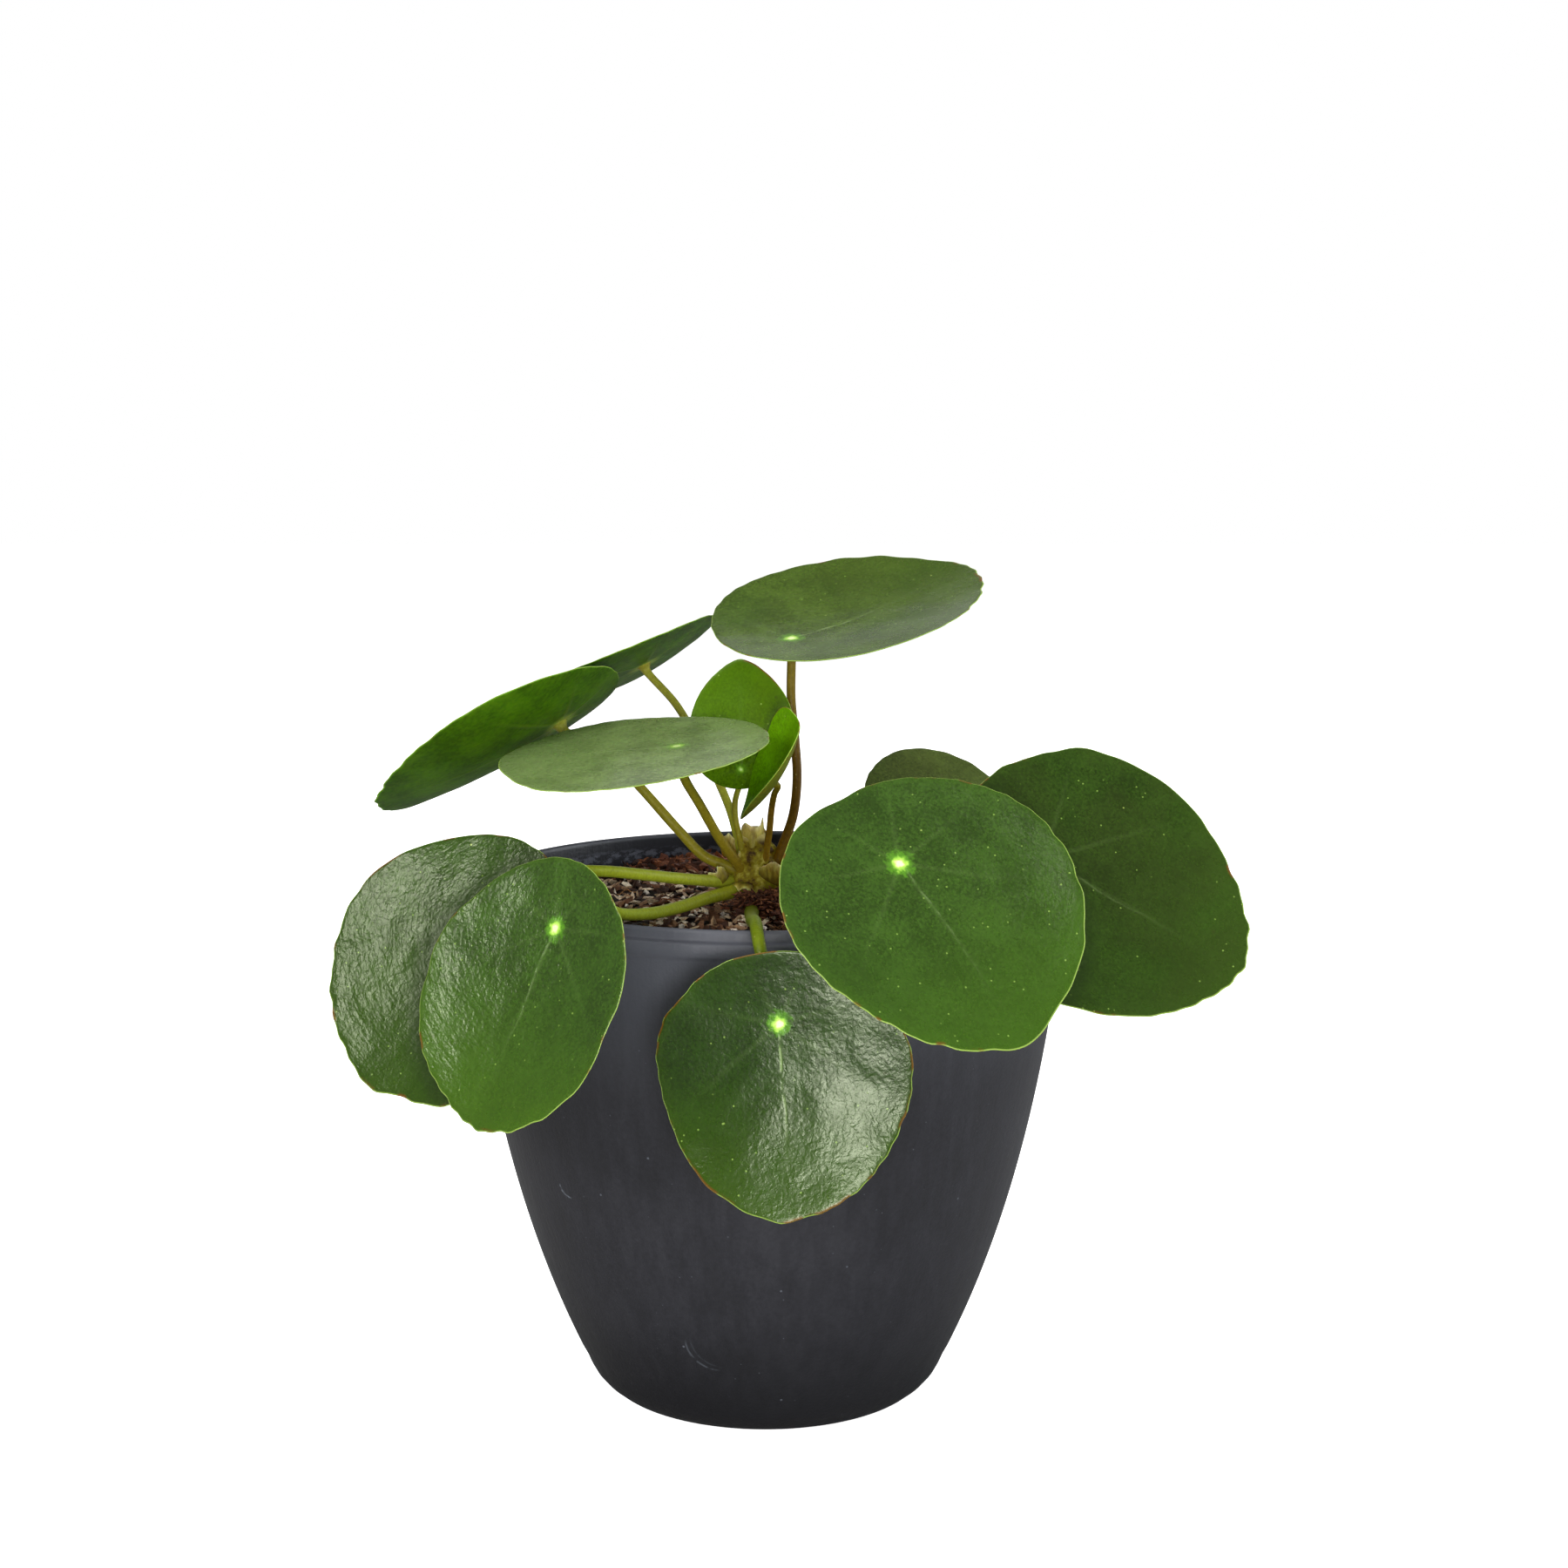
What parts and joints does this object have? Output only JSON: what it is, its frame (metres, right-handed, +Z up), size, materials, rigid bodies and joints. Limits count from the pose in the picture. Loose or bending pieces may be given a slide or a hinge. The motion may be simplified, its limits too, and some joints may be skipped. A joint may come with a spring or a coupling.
{
  "type": "potted chinese money plant",
  "caption": "Potted Chinese money plant: round glossy leaves on long stalks rise and droop from one short stem in bark compost, in a tapered charcoal pot with a stepped rim and a flat base.",
  "frame": {"origin": "centre of the flat face that the pot stands on", "axes": "+Z up along the pot's axis; -Y is the side that the picture shows, with +X to its right"},
  "size_m": [0.2148, 0.1848, 0.21],
  "materials": {
    "pot": "satin",
    "compost": "matte",
    "stem": "matte",
    "leaf_mature": "satin",
    "leaf_shaded": "satin",
    "leaf_young": "satin",
    "stalk": "satin"
  },
  "bodies": {
    "root": {"pot": "pot", "soil": "compost", "stem": "stem", "leaf_top": "leaf_mature", "leaf_back_left": "leaf_shaded", "leaf_left": "leaf_shaded", "leaf_middle": "leaf_mature", "leaf_young_upright": "leaf_young", "leaf_young_folded": "leaf_young", "leaf_low_left_back": "leaf_mature", "leaf_low_left_front": "leaf_mature", "leaf_front": "leaf_mature", "leaf_right_front": "leaf_mature", "leaf_right_back": "leaf_shaded", "leaf_behind": "leaf_shaded", "stalk_top": "stalk", "stalk_back_left": "stalk", "stalk_left": "stalk", "stalk_middle": "stalk", "stalk_young_upright": "stalk", "stalk_young_folded": "stalk", "stalk_low_left_back": "stalk", "stalk_low_left_front": "stalk", "stalk_front": "stalk", "stalk_right_front": "stalk", "stalk_right_back": "stalk", "stalk_behind": "stalk"}
  },
  "joints": []
}
